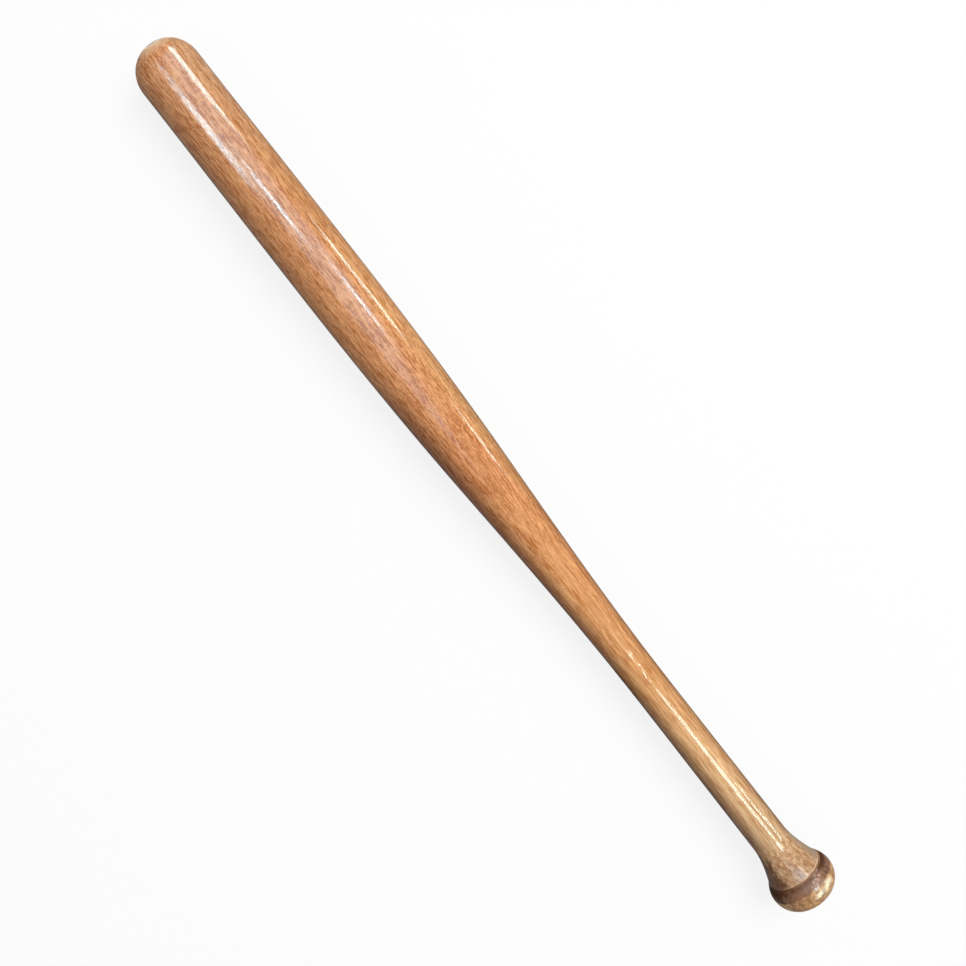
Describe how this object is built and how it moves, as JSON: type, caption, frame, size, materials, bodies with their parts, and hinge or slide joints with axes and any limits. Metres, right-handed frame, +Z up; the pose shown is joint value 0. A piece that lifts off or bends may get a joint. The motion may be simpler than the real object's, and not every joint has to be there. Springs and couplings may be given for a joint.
{
  "type": "wooden baseball bat",
  "caption": "Turned wooden baseball bat with a long tapered barrel, a slim handle flaring to a rim, and a darker rounded knob fitted on a tenon.",
  "frame": {"origin": "on the floor, under the middle of the bat's length, with the bat lying on the fullest part of its barrel", "axes": "+X along the bat from the knob to the barrel's tip, +Z up, the bat's axis level at half the barrel's diameter above the floor"},
  "size_m": [0.864, 0.0564, 0.0565],
  "materials": {
    "bat_body": "honey-brown stained hardwood with open grain along the bat, under glossy varnish",
    "knob": "dark brown turned hardwood, golden brown on its end, under the same glossy varnish"
  },
  "bodies": {
    "root": {"bat_body": "bat_body", "knob": "knob"}
  },
  "joints": []
}
